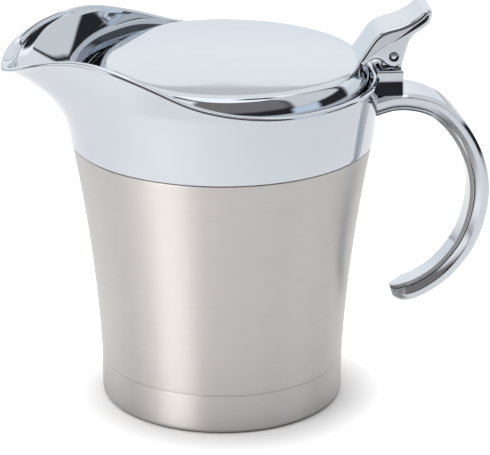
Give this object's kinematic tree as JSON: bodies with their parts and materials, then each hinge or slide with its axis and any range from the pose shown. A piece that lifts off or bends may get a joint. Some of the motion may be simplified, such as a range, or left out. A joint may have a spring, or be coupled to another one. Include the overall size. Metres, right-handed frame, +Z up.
{
  "type": "gravy boat",
  "caption": "Insulated gravy boat: brushed steel double-wall cup, chromed pouring collar with wide spout, hooked handle and hinged domed lid with a thumb lever.",
  "frame": {"origin": "centre of the flat base, on the surface the boat stands on", "axes": "+Z up along the vessel's axis, +X towards the handle with the spout along -X, +Y across"},
  "size_m": [0.1745, 0.113, 0.1443],
  "materials": {
    "brushed_steel": "horizontally brushed stainless steel",
    "liner_steel": "polished stainless steel",
    "silicone": "matt silicone",
    "dark_plastic": "matt moulded plastic",
    "chrome": "bright chrome plating on moulded plastic",
    "fastener_steel": "turned stainless steel",
    "lid_underside": "satin moulded plastic"
  },
  "bodies": {
    "jug": {"base_cup": "brushed_steel", "outer_shell": "brushed_steel", "inner_liner": "liner_steel", "liner_gasket": "silicone", "lock_ring": "dark_plastic", "collar": "chrome", "handle_shell": "chrome", "handle_cover": "chrome", "handle_screw_1": "fastener_steel", "handle_screw_2": "fastener_steel"},
    "lid": {"lid_cover": "chrome", "lid_plate": "lid_underside", "hinge_pin": "fastener_steel"}
  },
  "joints": [
    {"name": "lid_hinge", "type": "hinge", "parent": "jug", "child": "lid", "pos_m": [0.0598, 0, 0.1276], "axis": [0, 1, 0], "range_deg": [0, 75]}
  ]
}
